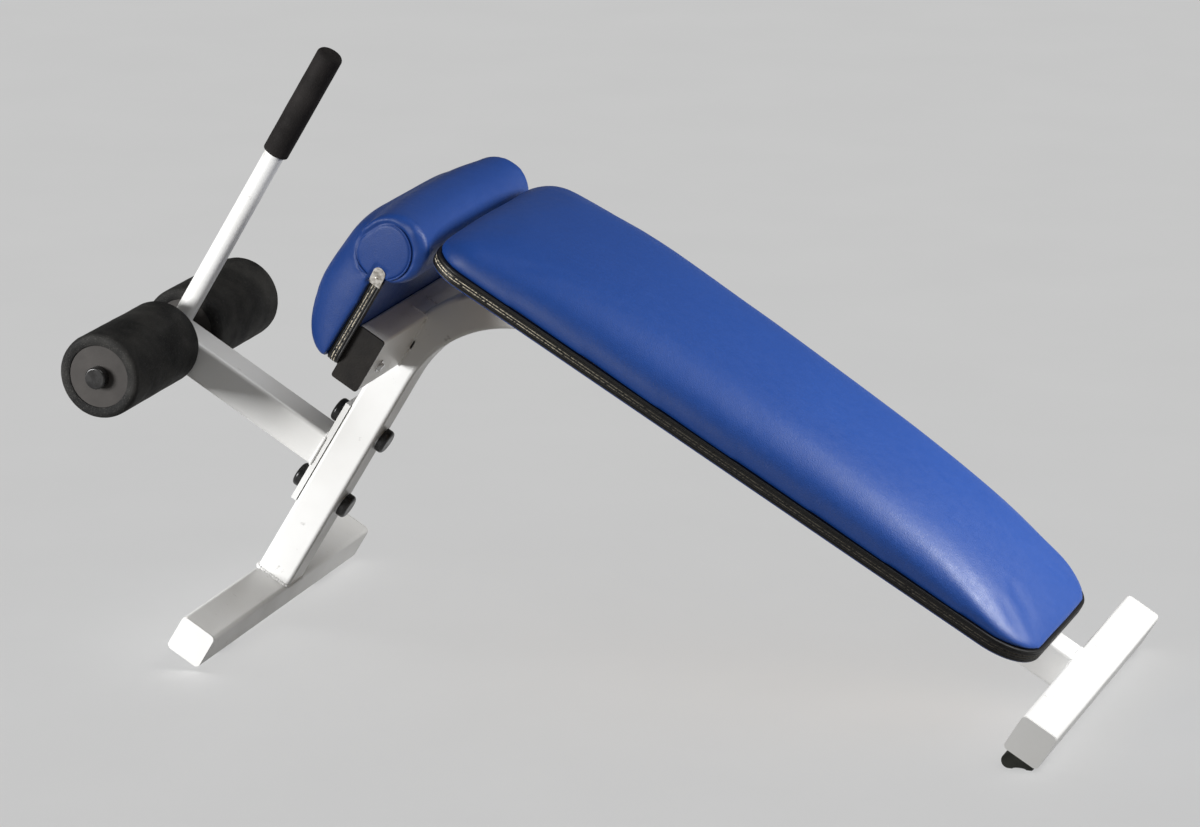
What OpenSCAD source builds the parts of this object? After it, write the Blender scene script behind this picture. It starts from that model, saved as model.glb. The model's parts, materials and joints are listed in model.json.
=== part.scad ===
// Inclined abdominal bench: one bent square tube carries the back pad, the knee pad's cross
// tube, a bolted-on roller arm with its pull handle, and a foot tube at each end.
//
// The parts are drawn in the bench's own axes, in which the main tube is square to the axes:
// x runs back along the pad, y to the far side, z out of the pad's face. The origin of that
// drawing is the middle of the front foot tube's top face. stand() then tips everything onto
// the floor and puts the origin under the middle of the whole bench.

/* [Square tube] */
// Outside width of the square tube of the frame
tube_w = 63.5; // [50:0.5:70]
// Wall thickness of the frame tubes
tube_wall = 3; // [2:0.5:4]
// Outside corner radius of the frame tubes
tube_corner = 7; // [5:0.5:9]

/* [Main frame] */
// Height of the pad's underside above the front foot, square to the foot's top face
beam_top = 716; // [690:1:730]
// Distance between the centre lines of the two foot tubes
foot_pitch = 1210; // [1190:1:1260]
// Inside radius of the bend between the post and the beam
bend_r = 216; // [180:1:240]
// Length of each foot tube, over its end plates
foot_len = 646; // [560:1:700]
// Thickness of the end plates of the feet
end_plate_t = 3; // [2:0.5:5]

/* [Rubber feet] */
// Length of a rubber foot along its tube
foot_pad_len = 58; // [40:1:80]
// Height of the foot tubes' rear edges above the floor
foot_pad_min = 4; // [3:0.5:6]
// Distance of the rear rubber feet from the ends of their tube
rear_pad_inset = 7; // [4:1:60]
// Distance of the front rubber feet from the ends of their tube
front_pad_inset = 96; // [4:1:120]

/* [Cross tube] */
// Depth of the cross tube, along the pad
cross_d = 50; // [45:1:55]
// Height of the cross tube
cross_h = 101; // [90:1:110]
// Length of the cross tube, over its plugs
cross_len = 426; // [400:1:440]
// Height of the cross tube's lower face
cross_z = 452; // [440:1:460]
// Position of the cross tube's front face
cross_x = -47; // [-50:0.5:-44]

/* [Roller arm] */
// Thickness of the flange plate that bolts the arm to the post
flange_t = 9.5; // [8:0.5:12]
// Height of the flange plate
flange_h = 200; // [190:1:220]
// Height of the centre of the arm and its flange
arm_z = 241; // [230:1:260]
// Distance from the post's centre line to the arm's front end
arm_reach = 391; // [385:1:420]
// Distance between the two flange bolts
bolt_pitch = 138; // [132:1:150]
// Diameter of the flange bolts
bolt_d = 12.7; // [10:0.1:14]

/* [Rollers] */
// Distance from the post's centre line to the roller axle
axle_reach = 362; // [355:1:370]
// Diameter of the axle
axle_d = 25.4; // [20:0.1:28]
// Outside diameter of the foam rollers
roller_d = 141; // [120:1:150]
// Distance from the middle of the bench to a roller's inner end
roller_in = 42; // [40:0.5:50]
// Distance from the middle of the bench to a roller's outer end
roller_out = 283; // [250:1:286]
// Diameter of the plastic discs in the rollers' ends
disc_d = 103; // [90:1:110]
// Radial running clearance between the axle and the discs
running = 0.05; // [0.02:0.01:0.1]

/* [Handle] */
// Outside diameter of the handle tube
handle_d = 34; // [30:0.5:36]
// Outside diameter of the foam grip
grip_d = 45; // [40:0.5:50]
// Height of the grip's lower end
grip_z = 622; // [600:1:650]
// Length of the grip
grip_len = 201; // [150:1:210]

/* [Back pad] */
// Position of the back pad's front edge
pad_front = -4; // [-6:0.5:2]
// Length of the back pad
pad_len = 1142; // [1120:1:1150]
// Half width of the back pad at its front
pad_half_w = 248.5; // [220:0.5:255]
// How much narrower each side is at the rear edge
pad_taper = 48; // [30:1:60]
// Radius of the back pad's front corners, in plan
pad_front_r = 60; // [45:1:75]
// Radius of the back pad's rear corners, in plan
pad_rear_r = 88; // [60:1:100]
// Thickness of the boards under both pads, with their cover
board_t = 22; // [18:1:24]
// Height of the foam over the board at the front edge
foam_front = 50; // [45:1:60]
// How much the foam rises from the front edge to the middle
foam_rise = 37; // [25:1:45]
// How much the foam falls again to the rear edge
foam_fall = 54; // [40:1:60]
// Height of the ribbed edge trim
trim_h = 20; // [16:1:21]
// Thickness of the ribbed edge trim
trim_t = 3.5; // [2:0.5:5]

/* [Knee pad] */
// Half length of the knee pad
knee_half = 232; // [220:1:240]
// Height of the knee pad's lower edge
knee_z = 470; // [462:1:480]
// Height of the knee pad's board
knee_board_h = 182; // [170:1:190]
// Centre of the knee roll along the pad
roll_x = -69; // [-72:0.5:-68]
// Height of the knee roll's centre
roll_z = 690; // [685:1:695]
// Radius of the knee roll
roll_r = 61; // [55:0.5:62]
// Thickness of the knee pad from its board's back to its front
knee_t = 102; // [90:1:110]

/* [Hidden] */
$fn = 64;
eps = 0.01;

half_w = tube_w / 2;
// Tip of the bench on the floor: both foot tubes touch one plane
tilt = atan2(beam_top, foot_pitch);
// Position of the rear foot's front face, where the beam ends
beam_end = foot_pitch - half_w;
// Centre line radius of the bend, and its centre
bend_mid_r = bend_r + half_w;
bend_x = half_w + bend_r;
bend_z = beam_top - tube_w - bend_r;

// Floor height in the tipped frame, under the thin edge of the rubber feet
floor_z = -sin(tilt) * half_w - cos(tilt) * tube_w - foot_pad_min;
axle_x = -axle_reach;
// Lowest and highest x of the whole bench once it is tipped
x_min = cos(tilt) * axle_x + sin(tilt) * arm_z - roller_d / 2;
x_max = cos(tilt) * (beam_end + tube_w) + sin(tilt) * beam_top;

// Step round the inner face of a foot's end plate
plate_step = 1;
// Rubber foot's section: middle and radius of its lobe, rear edge, and hollow of its sole
lobe_x = 46;
lobe_r = 12;
toe_x = 9;
toe_h = 3;
arch_w = 22;
arch_h = 2.5;

// Push-in plugs in the ends of the cross tube and the arm: flange, skirt and play round the skirt
plug_t = 4;
plug_skirt = 10;
plug_skirt_t = 2;
plug_play = 0.2;
cross_corner = 5;
cross_mid = [cross_x + cross_d / 2, 0, cross_z + cross_h / 2];
// Vent slot in the post's near side, just behind the cross tube
vent_w = 3.5;
vent_h = 16;
vent_x = cross_x + cross_d + 0.5;
vent_z = 488;

// Flange joint between the arm and the post
flange_x = -half_w - flange_t;
arm_len = arm_reach + flange_x - plug_t;
arm_top = arm_z + half_w;
clamped = flange_t + tube_w;
bolt_hole_d = bolt_d + 0.8;
bolt_end = 2;
washer_t = 2.5;
washer_d = 36;
hex_flats = 19;
hex_h = 8;
hex_d = hex_flats / cos(30);
cap_d = 42;
cap_h = 14;
cap_round = 6;
cap_play = 0.2;

// Rollers, from the middle out: sleeve, end discs with their spigots, axle and its caps
core_d = 50;
core_wall = 3;
foam_bevel = 5;
disc_t = 4;
disc_recess = 2;
spigot_len = 14;
axle_tip = 291;
axle_cap_d = 36.5;
axle_cap_end = 297;
axle_cap_rim = 3;
spacer_d = 39;
side_gap = 0.4;

grip_round = 10;
handle_top = grip_z + grip_len - 8;

// Bolts, washers and tee nuts of both pads
pad_bolt_d = 8;
pad_bolt_hole_d = 9;
pad_bolt_x = [330, 690, 1050];
pad_bolt_head_d = 16;
pad_bolt_head_h = 5;
pad_washer_d = 22;
pad_washer_t = 1.6;
tee_flange_d = 22;
tee_flange_t = 1.8;
tee_barrel_d = 10;
tee_barrel_h = 12;
knee_bolt_y = 162;
knee_bolt_z = 491;

cushion_z = beam_top + board_t;
// Lengths over which the foam falls away at its two ends, and how square its section is
front_drop = 70;
rear_drop = 260;
crown_power = 0.6;
// Ribbed edge strip: height of its lower edge over the board's underside, and its ribs
trim_gap = 1;
trim_core = 1;
rib_count = 5;
rib_pitch = trim_h / rib_count;
rib_gap = 1.4;

// How far the knee roll's ends are swept to the rear and lifted
roll_sweep = 12;
roll_lift = 13;
knee_back = cross_x;
knee_front = cross_x - board_t;
knee_board_r = 24;
knee_end_inset = 10;
// Height at which the knee pad's strip ends, under its clips
trim_top = knee_z + 170;
clip_w = board_t - 0.4;
clip_h = 36;
clip_t = 1.6;
clip_z = trim_top - 10;
clip_lean = 15;
rivet_d = 7;
rivet_h = 1.4;

// Tips the drawing onto the floor, with the origin under the middle of the bench
module stand() {
    translate([-(x_min + x_max) / 2, 0, -floor_z]) rotate([0, tilt, 0]) children();
}

// Places children, drawn on the near side, on both sides of the bench
module both_sides() {
    for (side = [0, 1]) mirror([0, side, 0]) children();
}

// Square with round corners, centred
module round_square(w, h, r) {
    square([w - 2 * r, h], center = true);
    square([w, h - 2 * r], center = true);
    for (x = [-1, 1], y = [-1, 1])
        translate([x * (w / 2 - r), y * (h / 2 - r)]) circle(r);
}

// Hollow tube section, centred
module tube_section(w, h, r, wall) {
    difference() {
        round_square(w, h, r);
        round_square(w - 2 * wall, h - 2 * wall, r - wall);
    }
}

module frame_section() {
    tube_section(tube_w, tube_w, tube_corner, tube_wall);
}

// Extrudes along +x, +y or +z from the origin
module along_x(len) { rotate([90, 0, 90]) linear_extrude(len) children(); }
module along_y(len) { rotate([-90, 0, 0]) linear_extrude(len) children(); }

// The post, the bend and the beam, swept with any section
module frame_sweep() {
    linear_extrude(bend_z) children();
    translate([bend_x, 0, bend_z]) rotate([90, 0, 0]) rotate([0, 0, 90])
        rotate_extrude(angle = 90, $fn = 96) translate([bend_mid_r, 0]) children();
    translate([bend_x, 0, beam_top - half_w]) along_x(beam_end - bend_x) children();
}

module frame_tube() {
    color("white") difference() {
        frame_sweep() frame_section();
        for (z = [-1, 1])
            translate([0, 0, arm_z + z * bolt_pitch / 2]) rotate([0, 90, 0])
                cylinder(d = bolt_hole_d, h = 2 * tube_w, center = true);
        for (x = pad_bolt_x)
            translate([x, 0, beam_top - half_w])
                cylinder(d = pad_bolt_hole_d, h = 2 * tube_w, center = true);
        translate([vent_x, -half_w - 1, vent_z]) cube([vent_w, tube_wall + 2, vent_h]);
    }
}

// One foot tube between its end plates, from the middle of its near end
module foot_tube() {
    translate([0, end_plate_t - foot_len / 2, 0])
        along_y(foot_len - 2 * end_plate_t) frame_section();
}

module front_foot_tube() {
    color("white") translate([0, 0, -half_w]) foot_tube();
}

module rear_foot_tube() {
    color("white") translate([foot_pitch, 0, beam_top - half_w]) foot_tube();
}

module foot_end_plates() {
    inner_w = tube_w - 2 * plate_step;
    color("white") both_sides()
        for (p = [[0, -half_w], [foot_pitch, beam_top - half_w]])
            translate([p[0], -foot_len / 2, p[1]]) {
                along_y(end_plate_t - plate_step) round_square(tube_w, tube_w, tube_corner + 1);
                along_y(end_plate_t) round_square(inner_w, inner_w, tube_corner - plate_step);
            }
}

// Section of a rubber foot from the foot tube's lower rear edge, with y up from the floor:
// a round lobe in front, a hollow sole, and a thin edge at the rear
module foot_profile() {
    difference() {
        union() {
            translate([-lobe_x, lobe_r]) circle(lobe_r, $fn = 40);
            polygon([[-lobe_x, 0], [-toe_x, 0], [-toe_x + toe_h, toe_h], [-toe_x + toe_h, half_w],
                     [-lobe_x, half_w]]);
        }
        translate([-(lobe_x + toe_x + toe_h) / 2, 0]) scale([1, 2 * arch_h / arch_w])
            circle(d = arch_w, $fn = 40);
    }
}

// Rubber foot under a foot tube centred at (x, z), on the near side
module rubber_foot(x, z, inset) {
    translate([x, -foot_len / 2 + inset, z]) rotate([90, 0, 0]) mirror([0, 0, 1])
        linear_extrude(foot_pad_len) difference() {
            translate([half_w, -half_w]) rotate(tilt) translate([0, -foot_pad_min]) foot_profile();
            square(tube_w, center = true);
        }
}

module front_rubber_feet() {
    color("dimgray") both_sides() rubber_foot(0, -half_w, front_pad_inset);
}

module rear_rubber_feet() {
    color("dimgray") both_sides() rubber_foot(foot_pitch, beam_top - half_w, rear_pad_inset);
}

module cross_tube() {
    color("white") difference() {
        translate(cross_mid - [0, cross_len / 2 - plug_t, 0]) along_y(cross_len - 2 * plug_t)
            tube_section(cross_d, cross_h, cross_corner, tube_wall);
        frame_sweep() round_square(tube_w, tube_w, tube_corner);
        both_sides() translate([cross_mid[0], -knee_bolt_y, knee_bolt_z]) rotate([0, 90, 0])
            cylinder(d = pad_bolt_hole_d, h = 2 * cross_d, center = true);
    }
}

// Push-in plug for a tube end that faces -y: flange outside, skirt inside
module tube_plug(w, h, r) {
    inset = tube_wall + plug_play;
    translate([0, -plug_t, 0]) along_y(plug_t) round_square(w, h, r);
    along_y(plug_skirt)
        tube_section(w - 2 * inset, h - 2 * inset, r - tube_wall + 0.5, plug_skirt_t);
}

module cross_tube_plugs() {
    color("#202022") both_sides()
        translate(cross_mid - [0, cross_len / 2 - plug_t, 0])
            tube_plug(cross_d, cross_h, cross_corner);
}

module flange_plate() {
    color("white") difference() {
        translate([flange_x, -half_w, arm_z - flange_h / 2]) cube([flange_t, tube_w, flange_h]);
        for (z = [-1, 1])
            translate([flange_x, 0, arm_z + z * bolt_pitch / 2]) rotate([0, 90, 0])
                cylinder(d = bolt_hole_d, h = 4 * flange_t, center = true);
    }
}

module roller_arm_tube() {
    color("white") difference() {
        translate([flange_x - arm_len, 0, arm_z]) along_x(arm_len) frame_section();
        translate([axle_x, 0, arm_z]) rotate([90, 0, 0])
            cylinder(d = axle_d, h = 2 * tube_w, center = true);
    }
}

module roller_arm_plug() {
    color("#202022") translate([flange_x - arm_len, 0, arm_z]) rotate([0, 0, -90])
        tube_plug(tube_w, tube_w, tube_corner);
}

// Places children at each flange bolt, with +z pointing out of the flange to the front
module at_flange_bolts() {
    for (z = [-1, 1])
        translate([flange_x, 0, arm_z + z * bolt_pitch / 2]) rotate([0, -90, 0]) children();
}

module flange_bolts() {
    shank = clamped + washer_t + hex_h + bolt_end;
    color("silver") at_flange_bolts() {
        translate([0, 0, washer_t]) cylinder(d = hex_d, h = hex_h, $fn = 6);
        translate([0, 0, -shank]) cylinder(d = bolt_d, h = shank + washer_t);
    }
}

module flange_nuts() {
    color("silver") at_flange_bolts() translate([0, 0, -clamped - washer_t - hex_h])
        difference() {
            cylinder(d = hex_d, h = hex_h, $fn = 6);
            translate([0, 0, -hex_h / 2]) cylinder(d = bolt_d, h = 2 * hex_h);
        }
}

module flange_washers() {
    color("silver") at_flange_bolts() for (z = [0, -clamped - washer_t])
        translate([0, 0, z]) difference() {
            cylinder(d = washer_d, h = washer_t);
            translate([0, 0, -washer_t]) cylinder(d = bolt_hole_d, h = 3 * washer_t);
        }
}

// Cylinder with its upper edge rounded
module domed_cylinder(r, h, round) {
    rotate_extrude() {
        square([r, h - round]);
        square([r - round, h]);
        translate([r - round, h - round]) intersection() {
            circle(round);
            square(round);
        }
    }
}

// Domed plastic cap, open towards -z, over a bolt head or nut
module bolt_cap() {
    difference() {
        domed_cylinder(cap_d / 2, cap_h, cap_round);
        translate([0, 0, -1]) cylinder(d = hex_d + 2 * cap_play, h = hex_h + bolt_end + 1.2);
    }
}

module bolt_caps() {
    color("#1a1a1c") at_flange_bolts() {
        translate([0, 0, washer_t]) bolt_cap();
        translate([0, 0, -clamped - washer_t]) mirror([0, 0, 1]) bolt_cap();
    }
}

// Places children on the axle with +z along -y, out of the near side
module on_axle() {
    translate([axle_x, 0, arm_z]) rotate([90, 0, 0]) children();
}
module on_axle_both() { both_sides() on_axle() children(); }

module ring(d, hole, from, to) {
    translate([0, 0, from]) difference() {
        cylinder(d = d, h = to - from);
        translate([0, 0, -1]) cylinder(d = hole, h = to - from + 2);
    }
}

module axle() {
    color("silver") on_axle() cylinder(d = axle_d, h = 2 * axle_tip, center = true);
}

module axle_spacers() {
    color("silver") on_axle_both()
        ring(spacer_d, axle_d, half_w, roller_in + disc_recess - side_gap);
}

module axle_caps() {
    start = roller_out - disc_recess + side_gap;
    color("#1a1a1c") on_axle_both() difference() {
        translate([0, 0, start])
            domed_cylinder(axle_cap_d / 2, axle_cap_end - start, axle_cap_rim);
        cylinder(d = axle_d, h = axle_tip);
    }
}

module roller_foam() {
    on_axle() difference() {
        union() {
            translate([0, 0, roller_in + foam_bevel])
                cylinder(d = roller_d, h = roller_out - roller_in - 2 * foam_bevel);
            translate([0, 0, roller_in])
                cylinder(d1 = roller_d - 2 * foam_bevel, d2 = roller_d, h = foam_bevel);
            translate([0, 0, roller_out - foam_bevel])
                cylinder(d1 = roller_d, d2 = roller_d - 2 * foam_bevel, h = foam_bevel);
        }
        cylinder(d = core_d, h = 2 * roller_out);
        translate([0, 0, roller_in - eps]) cylinder(d = disc_d, h = disc_recess + disc_t + eps);
        translate([0, 0, roller_out - disc_recess - disc_t]) cylinder(d = disc_d, h = 2 * disc_t);
    }
}

module roller_core() {
    on_axle() ring(core_d, core_d - 2 * core_wall,
                   roller_in + disc_recess + disc_t, roller_out - disc_recess - disc_t);
}

module roller_discs() {
    bore = axle_d + 2 * running;
    on_axle() {
        ring(disc_d, bore, roller_in + disc_recess, roller_in + disc_recess + disc_t);
        ring(core_d - 2 * core_wall, bore,
             roller_in + disc_recess + disc_t, roller_in + disc_recess + disc_t + spigot_len);
        ring(disc_d, bore, roller_out - disc_recess - disc_t, roller_out - disc_recess);
        ring(core_d - 2 * core_wall, bore,
             roller_out - disc_recess - disc_t - spigot_len, roller_out - disc_recess - disc_t);
    }
}

module near_roller_foam() { color("#232325") roller_foam(); }
module near_roller_core() { color("lightgray") roller_core(); }
module near_roller_discs() { color("#6f7073") roller_discs(); }
module far_roller_foam() { color("#232325") mirror([0, 1, 0]) roller_foam(); }
module far_roller_core() { color("lightgray") mirror([0, 1, 0]) roller_core(); }
module far_roller_discs() { color("#6f7073") mirror([0, 1, 0]) roller_discs(); }

module handle_tube() {
    color("white") translate([axle_x, 0, 0])
        ring(handle_d, handle_d - 2 * tube_wall, arm_top, handle_top);
}

module handle_grip() {
    color("#2c2c2f") translate([axle_x, 0, grip_z]) difference() {
        domed_cylinder(grip_d / 2, grip_len, grip_round);
        translate([0, 0, -1]) cylinder(d = handle_d, h = handle_top - grip_z + 1);
    }
}

// Half width of the back pad at a distance x from its front edge
function pad_w(x) = pad_half_w - pad_taper * x / pad_len;

// Outline of the back pad, inset by d: near side from front to rear, then back on the far side
function half_outline(d) = let (f = pad_front_r, r = pad_rear_r,
                                w0 = pad_w(f), w1 = pad_w(pad_len - r)) concat(
    [for (a = [0 : 10 : 90]) [f - (f - d) * cos(a), w0 - f + (f - d) * sin(a)]],
    [for (a = [0 : 10 : 90]) [pad_len - r + (r - d) * sin(a), w1 - r + (r - d) * cos(a)]]
);
function mirrored(p) = [for (i = [len(p) - 1 : -1 : 0]) [p[i][0], -p[i][1]]];

module pad_outline(d) {
    translate([pad_front, 0]) polygon(concat(half_outline(d), mirrored(half_outline(d))));
}

module back_pad_board() {
    color("#2a4c9c") difference() {
        translate([0, 0, beam_top]) linear_extrude(board_t) pad_outline(trim_t);
        for (x = pad_bolt_x) translate([x, 0, beam_top]) {
            translate([0, 0, -1]) cylinder(d = tee_barrel_d, h = board_t + 2);
            translate([0, 0, board_t - tee_flange_t]) cylinder(d = tee_flange_d, h = board_t);
        }
    }
}

// Height of the foam at a distance x from the front edge, falling away at both ends
function foam_h(x) = let (s = x / pad_len, a = min(1, s / 0.28), b = max(0, (s - 0.4) / 0.6))
    (foam_front + foam_rise * a * (2 - a) - foam_fall * pow(b, 2.6))
    * end_drop(front_drop - x, front_drop, 3) * end_drop(x - pad_len + rear_drop, rear_drop, 2.4);
function end_drop(over, span, p) = pow(max(0.001, 1 - pow(max(0, over) / span, p)), 1 / p);

// Half width of the cushion in plan at x, with the corner radii
function plan_w(x) = let (f = pad_front_r, r = pad_rear_r)
    x < f ? pad_w(f) - f + sqrt(max(0, f * f - (f - x) * (f - x))) :
    x > pad_len - r ? pad_w(pad_len - r) - r + sqrt(max(0, r * r - pow(x - pad_len + r, 2))) :
    pad_w(x);

// Cross-section of the cushion at x: a squared-off half ellipse
function crown(x) = [for (a = [0 : 9 : 180])
    [plan_w(x) * sign(cos(a)) * pow(abs(cos(a)), crown_power),
     foam_h(x) * pow(abs(sin(a)), crown_power)]];

module back_pad_cushion() {
    stations = [0, 4, 14, 30, 48, 70, 120, 200, 320, 450, 580, 700, 800, 880, 940, 990, 1030, 1060,
                1090, 1112, 1128, 1137, 1141];
    color("royalblue") translate([pad_front, 0, cushion_z]) hull()
        for (x = stations) translate([min(x, pad_len - 0.1), 0, 0]) along_x(0.1) polygon(crown(x));
}

module back_pad_trim() {
    z0 = beam_top + trim_gap;
    color("#151517") difference() {
        union() {
            translate([0, 0, z0]) linear_extrude(trim_h) pad_outline(trim_core);
            for (i = [0 : rib_count - 1]) translate([0, 0, z0 + i * rib_pitch + rib_gap / 2])
                linear_extrude(rib_pitch - rib_gap) pad_outline(0);
        }
        translate([0, 0, z0 - 1]) linear_extrude(trim_h + 2) pad_outline(trim_t);
    }
}

module back_pad_bolts() {
    color("silver") for (x = pad_bolt_x) translate([x, 0, beam_top - tube_w - pad_washer_t]) {
        translate([0, 0, -pad_bolt_head_h])
            cylinder(d = pad_bolt_head_d, h = pad_bolt_head_h, $fn = 6);
        cylinder(d = pad_bolt_d, h = pad_washer_t + tube_w + board_t - 4);
    }
}

module pad_washer() { ring(pad_washer_d, pad_bolt_hole_d, 0, pad_washer_t); }

module back_pad_washers() {
    color("silver") for (x = pad_bolt_x)
        translate([x, 0, beam_top - tube_w - pad_washer_t]) pad_washer();
}

// Tee nut: flange at z = 0 and below, barrel further below
module tee_nut() {
    ring(tee_flange_d, pad_bolt_d, -tee_flange_t, 0);
    ring(tee_barrel_d, pad_bolt_d, -tee_flange_t - tee_barrel_h, -tee_flange_t);
}

module back_pad_tee_nuts() {
    color("silver") for (x = pad_bolt_x) translate([x, 0, cushion_z]) tee_nut();
}

// Places children at both knee pad bolts, with +z pointing to the rear, on the tube's back face
module at_knee_bolts() {
    both_sides() translate([cross_x + cross_d, -knee_bolt_y, knee_bolt_z]) rotate([0, 90, 0])
        children();
}

// The knee board's outline, inset by d
module knee_board_plan(d) {
    translate([0, knee_z + knee_board_h / 2])
        round_square(2 * (knee_half - knee_end_inset - d), knee_board_h - 2 * d, knee_board_r - d);
}

module knee_plate(x, t, d) {
    translate([x, 0, 0]) rotate([90, 0, 90]) linear_extrude(t) knee_board_plan(d);
}

module knee_pad_board() {
    color("#2a4c9c") difference() {
        knee_plate(knee_front, board_t, trim_t);
        at_knee_bolts() {
            translate([0, 0, -2 * cross_d]) cylinder(d = tee_barrel_d, h = 2 * cross_d);
            translate([0, 0, -cross_d - board_t - 1]) cylinder(d = tee_flange_d, h = 1 + tee_flange_t);
        }
    }
}

// Ribbed strip round the two ends and the lower edge of the knee board
module knee_pad_trim() {
    x0 = knee_front + trim_gap;
    color("#151517") difference() {
        union() {
            knee_plate(x0, trim_h, trim_core);
            for (i = [0 : rib_count - 1])
                knee_plate(x0 + i * rib_pitch + rib_gap / 2, rib_pitch - rib_gap, 0);
        }
        knee_plate(x0 - 1, trim_h + 2, trim_t);
        translate([x0 - 1, -knee_half, trim_top]) cube([trim_h + 2, 2 * knee_half, knee_board_h]);
    }
}

// Places children at a clip, with z up the strip and -y out of the end of the pad
module at_clips() {
    both_sides() translate([knee_front + board_t / 2, knee_end_inset - knee_half, clip_z])
        rotate([clip_lean, 0, 0]) children();
}

module clip_plate(t) {
    shoulder = clip_h - clip_w / 2;
    translate([-clip_w / 2, -t, 0]) cube([clip_w, t, shoulder]);
    translate([0, 0, shoulder]) rotate([90, 0, 0]) intersection() {
        cylinder(d = clip_w, h = t);
        translate([-clip_w / 2, 0, 0]) cube([clip_w, clip_w, t]);
    }
}

module trim_clips() {
    color("silver") at_clips() {
        clip_plate(clip_t);
        translate([0, -clip_t, clip_h / 3]) rotate([90, 0, 0]) cylinder(d = rivet_d, h = rivet_h);
    }
}

// Front face of the knee pad, swelling by o in the middle and leaning back by b at the top
function knee_profile(o, b) = [
    [knee_front, knee_z + 2], [knee_front - 18, knee_z + 2], [knee_front - 49 - o / 2, knee_z + 38],
    [knee_back - knee_t + 13 - o, knee_z + 90],
    [knee_back - knee_t + 8 - o + b / 2, knee_z + 165],
    [roll_x - roll_r + 2 - o + b, roll_z + 10 - b / 3], [knee_front, roll_z + 20]
];

module knee_pad_cushion() {
    // distance from the middle, swell of the front face, and lean of its top
    faces = [[0, 12, 0], [90, 10, 0], [170, 5, 2], [218, -1, 16], [knee_half - 1, -14, 10]];
    // distance from the middle, radius, and share of the roll's sweep to the rear and upwards
    rolls = [[0, roll_r + 1, 0], [90, roll_r + 1, 0.04], [170, roll_r - 1, 0.36],
             [205, roll_r - 2, 0.66], [217, roll_r - 3, 0.8], [227, roll_r - 6, 0.62],
             [knee_half - 1, roll_r - 10.5, 0]];
    color("royalblue") difference() {
        union() {
            hull() both_sides() for (s = faces) translate([0, -s[0], 0]) along_y(1)
                mirror([0, 1, 0]) polygon(knee_profile(s[1], s[2]));
            hull() both_sides() for (s = rolls)
                translate([roll_x + s[2] * roll_sweep, -s[0], roll_z + s[2] * roll_lift])
                    along_y(1) circle(s[1], $fn = 32);
        }
        knee_plate(knee_front, board_t + 1, trim_t);
        translate([knee_front, -knee_half - 1, knee_z - 1])
            cube([board_t + 1, 2 * knee_half + 2, trim_top - knee_z + 1]);
        // hollow that the clips press into the cover
        at_clips() clip_plate(knee_end_inset + roll_r);
    }
}

module knee_pad_bolts() {
    color("silver") at_knee_bolts() {
        translate([0, 0, pad_washer_t]) cylinder(d = pad_bolt_head_d, h = pad_bolt_head_h, $fn = 6);
        translate([0, 0, -cross_d - board_t + 3])
            cylinder(d = pad_bolt_d, h = cross_d + board_t - 3 + pad_washer_t);
    }
}

module knee_pad_washers() {
    color("silver") at_knee_bolts() pad_washer();
}

module knee_pad_tee_nuts() {
    color("silver") at_knee_bolts() translate([0, 0, -cross_d - board_t]) mirror([0, 0, 1]) tee_nut();
}

stand() frame_tube();
stand() front_foot_tube();
stand() rear_foot_tube();
stand() foot_end_plates();
stand() front_rubber_feet();
stand() rear_rubber_feet();
stand() cross_tube();
stand() cross_tube_plugs();
stand() flange_plate();
stand() roller_arm_tube();
stand() roller_arm_plug();
stand() flange_bolts();
stand() flange_nuts();
stand() flange_washers();
stand() bolt_caps();
stand() axle();
stand() axle_spacers();
stand() axle_caps();
stand() near_roller_foam();
stand() near_roller_core();
stand() near_roller_discs();
stand() far_roller_foam();
stand() far_roller_core();
stand() far_roller_discs();
stand() handle_tube();
stand() handle_grip();
stand() back_pad_board();
stand() back_pad_cushion();
stand() back_pad_trim();
stand() back_pad_bolts();
stand() back_pad_washers();
stand() back_pad_tee_nuts();
stand() knee_pad_board();
stand() knee_pad_cushion();
stand() knee_pad_trim();
stand() trim_clips();
stand() knee_pad_bolts();
stand() knee_pad_washers();
stand() knee_pad_tee_nuts();
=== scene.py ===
import json
import math

import bmesh
import bpy
import numpy as np
from mathutils import Matrix, Vector, noise

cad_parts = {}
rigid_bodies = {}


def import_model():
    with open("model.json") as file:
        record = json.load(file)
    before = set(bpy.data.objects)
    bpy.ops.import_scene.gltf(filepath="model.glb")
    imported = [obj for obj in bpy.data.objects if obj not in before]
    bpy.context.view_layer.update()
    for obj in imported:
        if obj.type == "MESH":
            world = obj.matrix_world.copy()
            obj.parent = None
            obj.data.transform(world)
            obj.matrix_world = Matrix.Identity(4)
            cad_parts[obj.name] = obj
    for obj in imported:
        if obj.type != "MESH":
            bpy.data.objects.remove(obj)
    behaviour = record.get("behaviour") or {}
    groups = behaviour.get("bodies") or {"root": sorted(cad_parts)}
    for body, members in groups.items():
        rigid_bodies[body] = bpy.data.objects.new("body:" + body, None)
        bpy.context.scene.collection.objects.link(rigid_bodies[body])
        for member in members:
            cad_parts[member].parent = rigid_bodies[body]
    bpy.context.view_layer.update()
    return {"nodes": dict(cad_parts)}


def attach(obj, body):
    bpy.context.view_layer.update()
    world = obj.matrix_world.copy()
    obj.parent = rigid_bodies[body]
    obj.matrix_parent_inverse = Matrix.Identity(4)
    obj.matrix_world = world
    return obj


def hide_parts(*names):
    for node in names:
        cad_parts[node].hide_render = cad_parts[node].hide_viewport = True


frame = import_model()

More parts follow.
